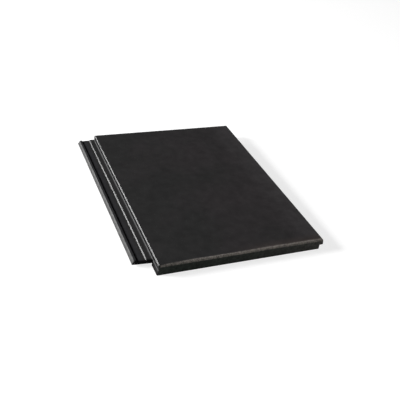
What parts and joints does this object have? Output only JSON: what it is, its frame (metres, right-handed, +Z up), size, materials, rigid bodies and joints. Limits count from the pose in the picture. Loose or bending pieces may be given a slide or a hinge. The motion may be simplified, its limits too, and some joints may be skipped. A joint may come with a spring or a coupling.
{
  "type": "clay roof tile",
  "caption": "Flat interlocking roof tile in matt anthracite fired clay: plain face, rounded nose, side under-lock, lapping side lip and hanging nibs.",
  "frame": {"origin": "middle of the bounding box, at the level of the hanging nibs' feet", "axes": "+X across the tile towards the lapping lip, +Y along the tile from the nose to the head, +Z up out of the face"},
  "size_m": [0.3324, 0.42, 0.0265],
  "materials": {
    "fired_clay": "matt anthracite engobe, fine grained"
  },
  "bodies": {
    "root": {"tile": "fired_clay"}
  },
  "joints": []
}
